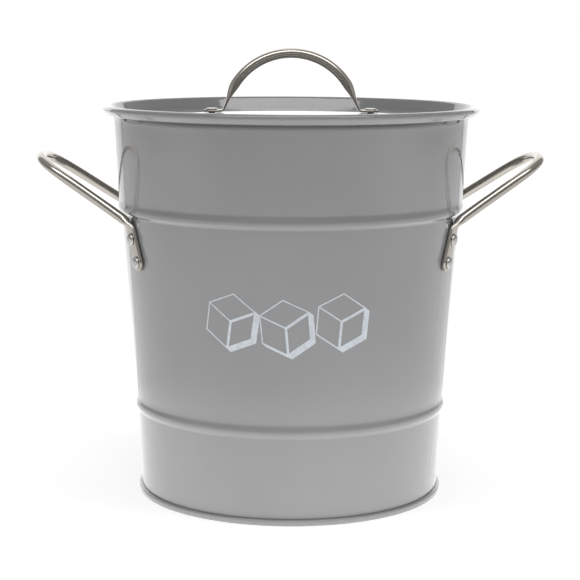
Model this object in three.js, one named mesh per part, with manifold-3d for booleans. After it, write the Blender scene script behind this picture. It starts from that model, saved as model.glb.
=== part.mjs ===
// A lidded ice bucket: a tapered sheet-steel pail with a rolled rim, two pressed beads and a
// double-seamed base, a loose domed lid, and three bent-rod handles held on by rivets.
// Millimetres, +Z up. The origin is the centre of the seam's underside, on which the bucket stands.
// The front faces -Y, and the two carrying handles stand out along -X and +X.
import * as THREE from "three";
import { ParametricGeometry } from "three/addons/geometries/ParametricGeometry.js";
import { mergeVertices } from "three/addons/utils/BufferGeometryUtils.js";
import Module from "manifold-3d";

// Resolution and fits
const SEGMENTS = 48; // facets round the pail and the lid
const ROD_SEGMENTS = 10; // facets round a handle rod
const RIVET_SEGMENTS = 10;
const CURVE_STEPS = 3; // straight steps along each curve of a sheet's outline
const SEAT_STEPS = 60; // steps in which the lid's edge moves out to its seat
const GAP = 0.3; // clearance between pieces that touch
const SHEET = 0.7; // thickness of the pressed sheet

// Pail: radii are those of the outer face of its wall
const HEIGHT = 218.9;
const RIM_RADIUS = 105;
const WALL_TOP_RADIUS = 98.77;
const WALL_FOOT_RADIUS = 84.7;
const RIM_DROP = 9.4; // from the rim's top down to where the wall starts to flare
const ROLL_RADIUS = 2; // outer radius of the roll along the rim's edge
const FLARE_RISE = 2.3; // height of the curve between the wall and the straight flare
const FLARE_START = 0.48; // how far the outer face has moved out at the end of that curve
const CURL_FACE = [2.35, 5.25]; // the curl's lower corner, in from the rim's edge and down from its top
const CURL_END = [4.25, 5.73]; // the curl's edge, counted in the same way

// Beads pressed round the wall
const LOWER_BEAD_Z = 50.9;
const LOWER_BEAD_RADIUS = 87.22; // of the wall at this bead
const LOWER_BEAD_PROUD = 1.15;
const UPPER_BEAD_Z = 162.6;
const UPPER_BEAD_RADIUS = 95.45; // of the wall just below this bead
const UPPER_BEAD_STEP = 0.95; // how much wider the wall is above it
const UPPER_BEAD_PROUD = 0.45;
const BEAD_HALF_HEIGHT = 4.3;

// Double seam round the base
const SEAM_HEIGHT = 3.6;
const PAN_RISE = 3; // from the table up to the base's underside

// Lid
const LID_DOME = 1.5; // rise of the lid from its edge to its centre
const LID_EDGE_DROP = 5.7; // from the rim's top down to the lid's edge
const LID_CURL_RADIUS = 1.2;

// Handles: round rod with flattened feet
const ROD = 5.5; // diameter
const STRAP_WIDTH = 9.5;
const STRAP_THICKNESS = 2.1;
const BEND = 5; // how far each foot's bend reaches along the rod on both sides of its corner
const RING_SPACING = 4.6; // between the rings of points along a rod

// Carrying handles
const FOOT_AZIMUTH = 26.7; // degrees round the wall from the X axis to the middle of a foot
const FOOT_Z = 142; // height of that middle
const FOOT_SPLAY = 21.5; // degrees that a foot leans out from the slope of the wall
const FOOT_RISE = 15.2; // from the middle of a foot up to its bend
const RIVET_PITCH = 13;
const GRIP_TILT = 33.8; // degrees that the grip rises above level
const GRIP_REACH = 61; // from the bends to the rod's axis at the far end of the grip
const GRIP_TURN_START = 39.75; // how far the legs aim straight before they turn in
const GRIP_LEG_INSET = 12.5; // how much nearer the middle a leg is there
const GRIP_TURN_WIDTH = 33.4; // half width that the rounded end of the grip aims for

// Lid handle
const ARCH_RADIUS = 37.3; // of the rod's axis
const ARCH_DROP = 4.4; // from the lid's centre down to the arch's centre
const ARCH_LEG_ANGLE = 21.7; // degrees above level at which the arch turns into its legs
const LID_RIVET_X = 44.5;
const LID_STRAP_THICKNESS = 1.4;
const LID_BEND = 2; // the reach of its bends

// Rivets
const SHANK_RADIUS = 1.8;
const HEAD_RADIUS = 3.4;
const HEAD_HEIGHT = 1.9;
const LID_HEAD_HEIGHT = 0.9; // the lid's rivets have flat heads
const TAIL_RADIUS = 2.8;
const TAIL_HEIGHT = 1.1;

const radians = THREE.MathUtils.degToRad;
const wasm = await Module();
wasm.setup();

const paint = () =>
  new THREE.MeshStandardMaterial({ color: 0x8f9092, roughness: 0.22, metalness: 0.1 });
const steel = () =>
  new THREE.MeshStandardMaterial({ color: 0xa9a59c, roughness: 0.34, metalness: 1 });
const rivetSteel = () =>
  new THREE.MeshStandardMaterial({ color: 0xb9b8b0, roughness: 0.28, metalness: 1 });

// Moves a polyline sideways by a distance, with mitred corners; positive is to its right.
function offsetLine(points, distance) {
  const last = points.length - 1;
  return points.map((point, i) => {
    const before = points[Math.max(i - 1, 0)];
    const after = points[Math.min(i + 1, last)];
    const into = i > 0 ? point.clone().sub(before).normalize() : null;
    const out = i < last ? after.clone().sub(point).normalize() : null;
    const a = into ?? out;
    const b = out ?? into;
    const mitre = new THREE.Vector2(a.y + b.y, -a.x - b.x).normalize();
    const stretch = 1 / (mitre.x * a.y - mitre.y * a.x);
    return point.clone().addScaledVector(mitre, distance * stretch);
  });
}

// A closed outline of sheet metal round its centre line, which is drawn away from the axis or upwards.
function sheetOutline(centreLine) {
  const right = offsetLine(centreLine, SHEET / 2);
  const left = offsetLine(centreLine, -SHEET / 2).reverse();
  return [...right, ...left, right[0]];
}

// The same for a disc, whose centre line starts on the axis.
function discOutline(centreLine) {
  const upper = offsetLine(centreLine, -SHEET / 2);
  const lower = offsetLine(centreLine, SHEET / 2);
  upper[0].x = 0;
  lower[0].x = 0;
  return [...lower, ...upper.reverse()];
}

function lathe(outline, segments) {
  return new THREE.LatheGeometry(outline, segments).rotateX(Math.PI / 2);
}

function toSolid(geometry, matrix) {
  const bare = geometry.index ? geometry.toNonIndexed() : geometry.clone();
  bare.deleteAttribute("normal");
  bare.deleteAttribute("uv");
  if (matrix) bare.applyMatrix4(matrix);
  const merged = mergeVertices(bare, 1e-3);
  return new wasm.Manifold(
    new wasm.Mesh({
      numProp: 3,
      vertProperties: merged.attributes.position.array,
      triVerts: new Uint32Array(merged.index.array),
    }),
  );
}

function toGeometry(solid) {
  const mesh = solid.getMesh();
  const geometry = new THREE.BufferGeometry();
  geometry.setAttribute("position", new THREE.BufferAttribute(mesh.vertProperties, 3));
  geometry.setIndex(new THREE.BufferAttribute(mesh.triVerts, 1));
  geometry.computeVertexNormals();
  return geometry;
}

// Cuts a rivet hole for each rivet seat out of a piece.
function drilled(geometry, seats) {
  let solid = toSolid(geometry);
  const reach = STRAP_THICKNESS + HEAD_HEIGHT + TAIL_HEIGHT + SHEET + footLift;
  const drill = new THREE.CylinderGeometry(
    SHANK_RADIUS + GAP, SHANK_RADIUS + GAP, 2 * reach, RIVET_SEGMENTS,
  ).rotateX(Math.PI / 2);
  for (const seat of seats) solid = solid.subtract(toSolid(drill, seat));
  return toGeometry(solid);
}

// Outer radius of the straight wall at a height, without its beads.
function wallRadius(z) {
  const lerp = (z0, r0, z1, r1) => r0 + ((r1 - r0) * (z - z0)) / (z1 - z0);
  if (z < LOWER_BEAD_Z) return lerp(SEAM_HEIGHT, WALL_FOOT_RADIUS, LOWER_BEAD_Z, LOWER_BEAD_RADIUS);
  if (z < UPPER_BEAD_Z) return lerp(LOWER_BEAD_Z, LOWER_BEAD_RADIUS, UPPER_BEAD_Z, UPPER_BEAD_RADIUS);
  const above = UPPER_BEAD_RADIUS + UPPER_BEAD_STEP;
  return lerp(UPPER_BEAD_Z, above, HEIGHT - RIM_DROP, WALL_TOP_RADIUS);
}

// Circle, in the radius and height plane, on which the centre of the sheet runs round the rim's roll.
const roll = {
  x: RIM_RADIUS - ROLL_RADIUS,
  y: HEIGHT - ROLL_RADIUS,
  radius: ROLL_RADIUS - SHEET / 2,
};

// The straight flare: where the sheet's centre starts on it, and its angle above level, which makes it
// meet the roll without a kink.
function flareLine() {
  const x = WALL_TOP_RADIUS + FLARE_START - SHEET / 2;
  const y = HEIGHT - RIM_DROP + FLARE_RISE;
  const dx = roll.x - x;
  const dy = roll.y - y;
  const angle = Math.atan2(dy, dx) + Math.asin(roll.radius / Math.hypot(dx, dy));
  return { x, y, angle };
}

// Centre line of the pail's sheet, from the seam's hook up to the curl under the rim.
function pailCentreLine() {
  const half = SHEET / 2;
  const footX = WALL_FOOT_RADIUS - half;
  const footZ = SHEET + GAP + half;
  const flare = flareLine();
  const underZ = UPPER_BEAD_Z - BEAD_HALF_HEIGHT;
  const overZ = UPPER_BEAD_Z + BEAD_HALF_HEIGHT;
  const path = new THREE.Path();
  path.moveTo(WALL_FOOT_RADIUS + GAP + half, SEAM_HEIGHT - SHEET - GAP);
  path.lineTo(WALL_FOOT_RADIUS + GAP + half, footZ);
  path.lineTo(footX, footZ);
  path.lineTo(footX, SEAM_HEIGHT);
  drawBead(path, LOWER_BEAD_Z, LOWER_BEAD_RADIUS + LOWER_BEAD_PROUD);
  path.lineTo(wallRadius(underZ) - half, underZ);
  const crest = wallRadius(overZ) + UPPER_BEAD_PROUD - half;
  const shoulder = BEAD_HALF_HEIGHT / 2;
  path.bezierCurveTo(
    wallRadius(underZ) - half, underZ + shoulder, crest, UPPER_BEAD_Z - shoulder, crest, UPPER_BEAD_Z,
  );
  path.bezierCurveTo(
    crest, UPPER_BEAD_Z + shoulder, wallRadius(overZ) - half, overZ - shoulder,
    wallRadius(overZ) - half, overZ,
  );
  path.lineTo(WALL_TOP_RADIUS - half, HEIGHT - RIM_DROP);
  path.quadraticCurveTo(
    flare.x - (FLARE_RISE / 3) / Math.tan(flare.angle), flare.y - FLARE_RISE / 3, flare.x, flare.y,
  );
  path.absarc(roll.x, roll.y, roll.radius, flare.angle + Math.PI / 2, -Math.PI / 4, true);
  const inset = half * Math.SQRT1_2;
  path.lineTo(RIM_RADIUS - CURL_FACE[0] - inset, HEIGHT - CURL_FACE[1] + inset);
  path.lineTo(RIM_RADIUS - CURL_END[0] - inset, HEIGHT - CURL_END[1] + inset);
  return path.getPoints(CURVE_STEPS);
}

// Adds a straight stretch of wall and then a rounded bead whose crest has the outer radius given.
function drawBead(path, z, crestRadius) {
  const half = SHEET / 2;
  const low = z - BEAD_HALF_HEIGHT;
  const high = z + BEAD_HALF_HEIGHT;
  const shoulder = BEAD_HALF_HEIGHT / 2;
  const crest = crestRadius - half;
  path.lineTo(wallRadius(low) - half, low);
  path.bezierCurveTo(wallRadius(low) - half, low + shoulder, crest, z - shoulder, crest, z);
  path.bezierCurveTo(crest, z + shoulder, wallRadius(high) - half, high - shoulder,
    wallRadius(high) - half, high);
}

// The base is one pan: its rim goes down inside the wall, under it, up outside it and over its hook.
function basePan() {
  const half = SHEET / 2;
  const innerLeg = WALL_FOOT_RADIUS - SHEET - GAP - half;
  const outerLeg = WALL_FOOT_RADIUS + SHEET + 2 * GAP + half;
  const path = new THREE.Path();
  path.moveTo(0, PAN_RISE + half);
  path.lineTo(innerLeg, PAN_RISE + half);
  path.lineTo(innerLeg, half);
  path.lineTo(outerLeg, half);
  path.lineTo(outerLeg, SEAM_HEIGHT - half);
  path.lineTo(WALL_FOOT_RADIUS + GAP, SEAM_HEIGHT - half);
  return lathe(discOutline(path.getPoints(1)), SEGMENTS);
}

// Distance from a point to the nearest place on a polyline.
function distanceTo(line, point) {
  let nearest = Infinity;
  for (let i = 1; i < line.length; i += 1) {
    const along = line[i].clone().sub(line[i - 1]);
    const toPoint = point.clone().sub(line[i - 1]);
    const share = THREE.MathUtils.clamp(toPoint.dot(along) / along.lengthSq(), 0, 1);
    nearest = Math.min(nearest, toPoint.addScaledVector(along, -share).length());
  }
  return nearest;
}

// Where the lid's rolled edge rests in the rim: the centre of that edge, a clearance off the sheet. The
// edge moves out at its height by what room is left, again and again, so it never passes the sheet.
function seatLidEdge() {
  const sheet = pailCentreLine();
  const clear = LID_CURL_RADIUS + GAP + SHEET / 2;
  const centre = new THREE.Vector2(0, HEIGHT - LID_EDGE_DROP - LID_CURL_RADIUS);
  for (let i = 0; i < SEAT_STEPS; i += 1) centre.x += distanceTo(sheet, centre) - clear;
  return centre;
}

const lidEdge = seatLidEdge();
const lidTopZ = HEIGHT - LID_EDGE_DROP + LID_DOME;

// Height of the lid's upper face at a radius.
function lidHeight(r) {
  return lidTopZ - LID_DOME * (r / lidEdge.x) ** 2;
}

function lidPanel() {
  const half = SHEET / 2;
  const rings = 3;
  const points = [];
  for (let i = 0; i <= rings; i += 1) {
    const r = (lidEdge.x * i) / rings;
    points.push(new THREE.Vector2(r, lidHeight(r) - half));
  }
  const curl = new THREE.Path();
  curl.absarc(lidEdge.x, lidEdge.y, LID_CURL_RADIUS - half, Math.PI / 2, -0.6 * Math.PI, true);
  const turned = curl.getPoints(CURVE_STEPS).slice(1);
  return lathe(discOutline([...points, ...turned]), SEGMENTS);
}

// Distances along a handle at which it gets a ring of points: close together round its two ends.
function ringStations(length) {
  const cap = STRAP_WIDTH / 2;
  const ends = [0, 0.35, 0.65, 0.88].map((share) => cap * (1 - Math.cos((share * Math.PI) / 2)));
  const middle = [];
  const count = Math.ceil((length - 2 * cap) / RING_SPACING);
  for (let i = 0; i <= count; i += 1) middle.push(cap + ((length - 2 * cap) * i) / count);
  return [...ends, ...middle, ...ends.map((d) => length - d).reverse()];
}

// A handle: a flat strap with round ends that turns into a round rod between two distances from each
// end. normalAt gives the direction of the strap's thickness, which the width is square to.
function bentRod(path, strapThickness, normalAt, strapEnd, rodStart) {
  const length = path.getLength();
  const stations = ringStations(length);
  const sweep = (around, along, target) => {
    const s = stations[Math.round(along * (stations.length - 1))];
    const fromEnd = Math.min(s, length - s);
    const cap = STRAP_WIDTH / 2;
    const inCap = Math.max(0, 1 - fromEnd / cap);
    const round = THREE.MathUtils.smoothstep(fromEnd, strapEnd, rodStart);
    const width = THREE.MathUtils.lerp(STRAP_WIDTH * Math.sqrt(1 - inCap * inCap), ROD, round);
    const thickness = THREE.MathUtils.lerp(strapThickness, ROD, round);
    const power = THREE.MathUtils.lerp(0.35, 1, round);
    const angle = -2 * Math.PI * around;
    const across = Math.sign(Math.cos(angle)) * Math.abs(Math.cos(angle)) ** power;
    const through = Math.sign(Math.sin(angle)) * Math.abs(Math.sin(angle)) ** power;
    const point = path.getPointAt(s / length);
    const tangent = path.getTangentAt(THREE.MathUtils.clamp(s / length, 1e-4, 1 - 1e-4));
    const side = new THREE.Vector3().crossVectors(tangent, normalAt(s, length)).normalize();
    const normal = new THREE.Vector3().crossVectors(side, tangent);
    target.copy(point);
    target.addScaledVector(side, (across * width) / 2);
    target.addScaledVector(normal, (through * thickness) / 2);
  };
  return new ParametricGeometry(sweep, ROD_SEGMENTS, stations.length - 1);
}

const strapLift = GAP + STRAP_THICKNESS / 2;
const footEnd = RIVET_PITCH / 2 + STRAP_WIDTH / 2;
const footSlope = Math.atan((wallRadius(FOOT_Z + 1) - wallRadius(FOOT_Z - 1)) / 2);

// How far a bead that crosses behind a foot stands proud of the foot's back.
function beadUnderFoot() {
  const crests = [
    [LOWER_BEAD_Z, LOWER_BEAD_RADIUS + LOWER_BEAD_PROUD],
    [UPPER_BEAD_Z, wallRadius(UPPER_BEAD_Z + BEAD_HALF_HEIGHT) + UPPER_BEAD_PROUD],
  ];
  const behind = crests.filter(([z]) => z > FOOT_Z - footEnd && z < FOOT_Z + FOOT_RISE);
  const proud = ([z, r]) => r - wallRadius(FOOT_Z) - (z - FOOT_Z) * Math.tan(footSlope);
  return Math.max(0, ...behind.map(proud)) * Math.cos(footSlope);
}

const footLift = beadUnderFoot();

// The frame of a foot of a carrying handle on the +X side; side is 1 behind and -1 in front.
function footFrame(side) {
  const azimuth = radians(FOOT_AZIMUTH);
  const outward = new THREE.Vector3(Math.cos(azimuth), side * Math.sin(azimuth), 0);
  const along = new THREE.Vector3(-Math.sin(azimuth), side * Math.cos(azimuth), 0);
  const up = outward.clone().multiplyScalar(Math.sin(footSlope)).setZ(Math.cos(footSlope));
  const normal = outward.clone().multiplyScalar(Math.cos(footSlope)).setZ(-Math.sin(footSlope));
  const middle = outward.multiplyScalar(wallRadius(FOOT_Z)).setZ(FOOT_Z);
  middle.addScaledVector(normal, footLift);
  const rise = up.multiplyScalar(Math.cos(radians(FOOT_SPLAY)));
  rise.addScaledVector(along, -Math.sin(radians(FOOT_SPLAY)));
  return { middle, normal, rise };
}

function pointOnFoot(foot, rise, lift) {
  return foot.middle.clone().addScaledVector(foot.rise, rise).addScaledVector(foot.normal, lift);
}

// Axis of a carrying handle on the +X side, from the end of its front foot to that of its rear one.
function gripPath() {
  const tilt = radians(GRIP_TILT);
  const front = footFrame(-1);
  const corner = pointOnFoot(front, FOOT_RISE, strapLift);
  const inPlane = (u, y) =>
    new THREE.Vector3(corner.x + u * Math.cos(tilt), y, corner.z + u * Math.sin(tilt));
  const aim = inPlane(GRIP_TURN_START, corner.y + GRIP_LEG_INSET);
  const start = corner.clone().add(aim.clone().sub(corner).setLength(BEND));
  const half = [
    new THREE.LineCurve3(
      pointOnFoot(front, -footEnd, strapLift), pointOnFoot(front, FOOT_RISE - BEND, strapLift),
    ),
    new THREE.QuadraticBezierCurve3(pointOnFoot(front, FOOT_RISE - BEND, strapLift), corner, start),
    new THREE.CubicBezierCurve3(
      start, aim, inPlane(GRIP_REACH, -GRIP_TURN_WIDTH), inPlane(GRIP_REACH, 0),
    ),
  ];
  return mirroredPath(half, (p) => new THREE.Vector3(p.x, -p.y, p.z));
}

// Joins the curves of one half of a handle to their mirror images, taken backwards.
function mirroredPath(half, mirror) {
  const path = new THREE.CurvePath();
  for (const curve of half) path.add(curve);
  for (const curve of [...half].reverse()) {
    const points = [curve.v3, curve.v2, curve.v1, curve.v0].filter(Boolean).map(mirror);
    path.add(new curve.constructor(...points));
  }
  return path;
}

function sideHandle() {
  const tilt = radians(GRIP_TILT);
  const under = new THREE.Vector3(Math.sin(tilt), 0, -Math.cos(tilt));
  const bendAt = footEnd + FOOT_RISE;
  const normalAt = (s, length) => {
    const foot = footFrame(s < length / 2 ? -1 : 1).normal;
    const fromEnd = Math.min(s, length - s);
    return foot.lerp(under, THREE.MathUtils.smoothstep(fromEnd, bendAt - BEND, bendAt + BEND));
  };
  return bentRod(gripPath(), STRAP_THICKNESS, normalAt, bendAt - BEND, bendAt + BEND);
}

// Places a rivet: the local +Z axis points out of its head, and the origin is where it leaves the wall.
function rivetSeat(origin, normal) {
  const turn = new THREE.Quaternion().setFromUnitVectors(new THREE.Vector3(0, 0, 1), normal);
  return new THREE.Matrix4().compose(origin, turn, new THREE.Vector3(1, 1, 1));
}

// Seats of the four rivets of the carrying handle on the +X side, by name.
function sideSeats() {
  const seats = new Map();
  for (const [place, side] of [["front", -1], ["rear", 1]]) {
    const foot = footFrame(side);
    for (const [row, rise] of [["upper", RIVET_PITCH / 2], ["lower", -RIVET_PITCH / 2]])
      seats.set(`${place}_${row}`, rivetSeat(pointOnFoot(foot, rise, 0), foot.normal));
  }
  return seats;
}

// The lid's upper face where a foot of its handle lies: a point and the face's normal.
function lidFoot(side) {
  const slope = (2 * LID_DOME * LID_RIVET_X) / lidEdge.x ** 2;
  const normal = new THREE.Vector3(side * Math.sin(slope), 0, Math.cos(slope));
  const out = new THREE.Vector3(side * Math.cos(slope), 0, -Math.sin(slope));
  const point = new THREE.Vector3(side * LID_RIVET_X, 0, lidHeight(LID_RIVET_X));
  return { point, normal, out };
}

function lidHandlePath() {
  const centreZ = lidTopZ - ARCH_DROP;
  const angle = radians(ARCH_LEG_ANGLE);
  const foot = lidFoot(1);
  const legTop = new THREE.Vector3(Math.cos(angle), 0, Math.sin(angle)).multiplyScalar(ARCH_RADIUS);
  legTop.z += centreZ;
  const down = new THREE.Vector3(Math.sin(angle), 0, -Math.cos(angle));
  const centre = foot.point.clone().addScaledVector(foot.normal, GAP + LID_STRAP_THICKNESS / 2);
  const drop = (legTop.z - centre.z) / Math.cos(angle);
  const corner = legTop.clone().addScaledVector(down, drop);
  const end = centre.clone().addScaledVector(foot.out, STRAP_WIDTH / 2);
  const toFoot = end.clone().sub(corner).setLength(LID_BEND);
  const bendLow = corner.clone().add(toFoot);
  const bendHigh = corner.clone().addScaledVector(down, -LID_BEND);
  const quarter = Math.PI / 2 - angle;
  const pull = (4 / 3) * Math.tan(quarter / 4) * ARCH_RADIUS;
  const top = new THREE.Vector3(0, 0, centreZ + ARCH_RADIUS);
  const half = [
    new THREE.LineCurve3(end, bendLow),
    new THREE.QuadraticBezierCurve3(bendLow, corner, bendHigh),
    new THREE.LineCurve3(bendHigh, legTop),
    new THREE.CubicBezierCurve3(
      legTop, legTop.clone().addScaledVector(down, -pull), top.clone().setX(pull), top,
    ),
  ];
  return mirroredPath(half, (p) => new THREE.Vector3(-p.x, p.y, p.z));
}

function lidHandle() {
  const path = lidHandlePath();
  const square = (s, length) => {
    const tangent = path.getTangentAt(THREE.MathUtils.clamp(s / length, 1e-4, 1 - 1e-4));
    return new THREE.Vector3(0, 1, 0).cross(tangent).negate();
  };
  const bendAt = path.getCurveLengths()[0] + LID_BEND;
  return bentRod(path, LID_STRAP_THICKNESS, square, bendAt + LID_BEND, bendAt + 2 * ROD);
}

// A round-headed rivet through a strap and a sheet; the sheet's hidden face is sheetBack below the origin.
function rivet(strapThickness, headHeight, sheetBack) {
  const headZ = strapThickness + 2 * GAP;
  const tailZ = -sheetBack - GAP;
  const shape = new THREE.Path();
  shape.moveTo(0, tailZ - TAIL_HEIGHT);
  shape.lineTo(TAIL_RADIUS - TAIL_HEIGHT / 3, tailZ - TAIL_HEIGHT);
  shape.lineTo(TAIL_RADIUS, tailZ);
  shape.lineTo(SHANK_RADIUS, tailZ);
  shape.lineTo(SHANK_RADIUS, headZ);
  shape.lineTo(HEAD_RADIUS, headZ);
  shape.quadraticCurveTo(HEAD_RADIUS, headZ + headHeight, 0, headZ + headHeight);
  return lathe(shape.getPoints(CURVE_STEPS), RIVET_SEGMENTS);
}

function piece(name, geometry, material) {
  const mesh = new THREE.Mesh(geometry, material);
  mesh.name = name;
  return mesh;
}

function seated(mesh, seat) {
  seat.decompose(mesh.position, mesh.quaternion, mesh.scale);
  return mesh;
}

const halfTurn = new THREE.Matrix4().makeRotationZ(Math.PI);

// The pail: its wall, its base, and the two carrying handles with their rivets.
function pail() {
  const group = new THREE.Group();
  const seats = sideSeats();
  const holes = [...seats.values()];
  const allHoles = [...holes, ...holes.map((seat) => halfTurn.clone().multiply(seat))];
  const wall = lathe(sheetOutline(pailCentreLine()), SEGMENTS);
  const handle = drilled(sideHandle(), holes);
  const facetSag = wallRadius(FOOT_Z) * (1 - Math.cos(Math.PI / SEGMENTS));
  const rivetShape = rivet(STRAP_THICKNESS, HEAD_HEIGHT, SHEET + facetSag + footLift);
  group.add(piece("pail_wall", drilled(wall, allHoles), paint()));
  group.add(piece("base_pan", basePan(), paint()));
  for (const [side, turn] of [["right", 0], ["left", Math.PI]]) {
    const set = new THREE.Group();
    set.rotation.z = turn;
    set.add(piece(`${side}_handle`, handle, steel()));
    for (const [place, seat] of seats)
      set.add(seated(piece(`${side}_handle_rivet_${place}`, rivetShape, rivetSteel()), seat));
    group.add(set);
  }
  return group;
}

// The lid: its panel, and its handle with one rivet in each foot.
function lid() {
  const group = new THREE.Group();
  const seats = new Map();
  for (const [side, sign] of [["right", 1], ["left", -1]]) {
    const foot = lidFoot(sign);
    seats.set(side, rivetSeat(foot.point, foot.normal));
  }
  const holes = [...seats.values()];
  group.add(piece("lid_panel", drilled(lidPanel(), holes), paint()));
  group.add(piece("lid_handle", drilled(lidHandle(), holes), steel()));
  const rivetShape = rivet(LID_STRAP_THICKNESS, LID_HEAD_HEIGHT, SHEET);
  for (const [side, seat] of seats)
    group.add(seated(piece(`lid_rivet_${side}`, rivetShape, rivetSteel()), seat));
  return group;
}

const iceBucket = new THREE.Group();
iceBucket.add(pail(), lid());

export default iceBucket;
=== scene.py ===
"""Looks of a lidded ice bucket: enamelled sheet steel, brushed rod handles and a printed motif.

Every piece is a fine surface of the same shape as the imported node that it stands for. Sizes are in
millimetres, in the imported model's frame: +Z up, the front towards -Y, the handles along -X and +X.
"""

import logging
import math
from dataclasses import dataclass, field
from enum import Enum
from typing import Callable

import bpy
import numpy as np
from mathutils import Matrix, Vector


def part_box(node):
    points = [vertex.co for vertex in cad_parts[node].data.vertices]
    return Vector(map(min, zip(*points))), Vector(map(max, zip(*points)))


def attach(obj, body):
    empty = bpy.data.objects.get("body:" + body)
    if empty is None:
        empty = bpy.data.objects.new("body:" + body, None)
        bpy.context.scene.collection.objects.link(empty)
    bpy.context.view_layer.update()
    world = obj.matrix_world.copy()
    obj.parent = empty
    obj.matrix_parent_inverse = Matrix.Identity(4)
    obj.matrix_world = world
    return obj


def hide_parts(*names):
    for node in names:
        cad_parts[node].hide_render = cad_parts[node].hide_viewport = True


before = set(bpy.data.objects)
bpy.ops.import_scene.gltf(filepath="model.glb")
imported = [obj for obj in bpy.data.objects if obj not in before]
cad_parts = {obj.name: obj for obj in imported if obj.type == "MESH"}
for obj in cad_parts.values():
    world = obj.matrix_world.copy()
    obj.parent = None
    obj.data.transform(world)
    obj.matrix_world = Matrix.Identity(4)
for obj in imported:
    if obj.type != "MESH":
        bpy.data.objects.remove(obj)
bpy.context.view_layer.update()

log = logging.getLogger("ice_bucket")

Colour = tuple[float, float, float]
Value = float | bpy.types.NodeSocket

MM = 0.001
SHEET = 0.7
GAP = 0.3
NOISE_RANGE = (0.3, 0.7)
WHITE = (1.0, 1.0, 1.0, 1.0)


class Body(Enum):
    """The two bodies that move apart."""

    PAIL = "pail"
    LID = "lid"


class Slot(Enum):
    """The record's material slots."""

    PAINT = "pail_paint"
    HANDLE = "handle_steel"
    RIVET = "rivet_steel"


class Side(Enum):
    """The side that a handle stands on, as the sign of its X and Y."""

    RIGHT = 1
    LEFT = -1


# ---------------------------------------------------------------------------------------- outlines


def arc(centre: tuple[float, float], radius: float, start: float, end: float, count: int = 12) -> np.ndarray:
    """Points on a circle: centre + radius * (cos, sin) of equally spaced angles.

    Args:
        centre: Middle of the circle, as radius and height.
        radius: Radius of the circle.
        start: First angle in degrees.
        end: Last angle in degrees.
        count: Number of points.

    Returns:
        Array of shape (count, 2).
    """
    angle = np.radians(np.linspace(start, end, count))
    return np.column_stack((centre[0] + radius * np.cos(angle), centre[1] + radius * np.sin(angle)))


def bezier(controls: list, count: int) -> np.ndarray:
    """Points on a Bezier curve: the sum of each control point times its Bernstein weight.

    Args:
        controls: Two, three or four control points of any dimension.
        count: Number of points.

    Returns:
        Array of shape (count, dimension).
    """
    points = np.asarray(controls, float)
    degree = len(points) - 1
    t = np.linspace(0.0, 1.0, count)[:, None]
    order = np.arange(degree + 1)
    choose = np.array([math.comb(degree, int(k)) for k in order])
    return (choose * t**order * (1 - t) ** (degree - order)) @ points


def rounded(corners: list[tuple[float, float, float]], steps: int = 8) -> np.ndarray:
    """A polyline whose corners are rounded by quadratic curves between two points on its sides.

    Args:
        corners: Radius, height and reach of the rounding along both sides, for each corner.
        steps: Points on each rounded corner.

    Returns:
        Array of shape (n, 2).
    """
    points = np.array([corner[:2] for corner in corners])
    parts = [points[:1]]
    for before, here, after, (_, _, reach) in zip(points, points[1:], points[2:], corners[1:]):
        into = (here - before) / np.linalg.norm(here - before)
        out = (after - here) / np.linalg.norm(after - here)
        parts.append(bezier([here - into * reach, here, here + out * reach], steps))
    parts.append(points[-1:])
    return np.concatenate(parts)


def spaced(line: np.ndarray, spacing: float) -> np.ndarray:
    """Adds points to a line so that no step is longer than a spacing; its own points all stay.

    Args:
        line: Points of shape (n, 2).
        spacing: Longest step.

    Returns:
        Array of shape (m, 2).
    """
    steps = np.linalg.norm(np.diff(line, axis=0), axis=1)
    keep = np.concatenate(([True], steps > 1e-6))
    line = line[keep]
    steps = np.linalg.norm(np.diff(line, axis=0), axis=1)
    counts = np.maximum(1, np.ceil(steps / spacing)).astype(int)
    stations = np.concatenate([[0.0], np.repeat(np.arange(len(counts)), counts)
                               + (ragged_arange(counts) + 1) / np.repeat(counts, counts)])
    index = np.arange(len(line))
    return np.column_stack([np.interp(stations, index, line[:, k]) for k in range(line.shape[1])])


def ragged_arange(counts: np.ndarray) -> np.ndarray:
    """0, 1, 2 ... up to each count in turn, one after the other."""
    starts = np.repeat(np.cumsum(counts) - counts, counts)
    return np.arange(counts.sum()) - starts


def normals_of(line: np.ndarray) -> np.ndarray:
    """Unit normals to the right of a line, from the central difference of its points."""
    along = np.gradient(line, axis=0)
    along /= np.linalg.norm(along, axis=1, keepdims=True)
    return np.column_stack((along[:, 1], -along[:, 0]))


def sheet_outline(line: np.ndarray, thickness: float = SHEET, on_axis: bool = False) -> np.ndarray:
    """The outline of sheet metal: its centre line moved by half a thickness to both sides.

    A free edge is closed by half a circle. Both faces of a disc start on the axis.

    Args:
        line: Centre line, as radius and height.
        thickness: Thickness of the sheet.
        on_axis: True for a disc, whose line starts on the axis.

    Returns:
        Closed outline, or one that runs from the axis back to the axis.
    """
    half = thickness / 2
    normal = normals_of(line)
    right = line + normal * half
    left = (line - normal * half)[::-1]
    turn = np.radians(np.linspace(0, 180, 9)[1:-1])[:, None]

    def edge(point: np.ndarray, side: np.ndarray) -> np.ndarray:
        """Half a circle round an end, from the side given to the other one."""
        forward = np.array([-side[1], side[0]])
        return point + half * (np.cos(turn) * side + np.sin(turn) * forward)

    end = edge(line[-1], normal[-1])
    if on_axis:
        outline = np.concatenate((right, end, left))
        outline[0, 0] = 0.0
        outline[-1, 0] = 0.0
        return outline
    start = edge(line[0], -normal[0])
    return np.concatenate((right, end, left, start))


# ----------------------------------------------------------------------------------------- surfaces


def azimuths(count: int) -> np.ndarray:
    """Equally spaced angles round the axis, in radians, without the last, which is the first again."""
    return np.linspace(0.0, 2 * np.pi, count, endpoint=False)


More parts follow.
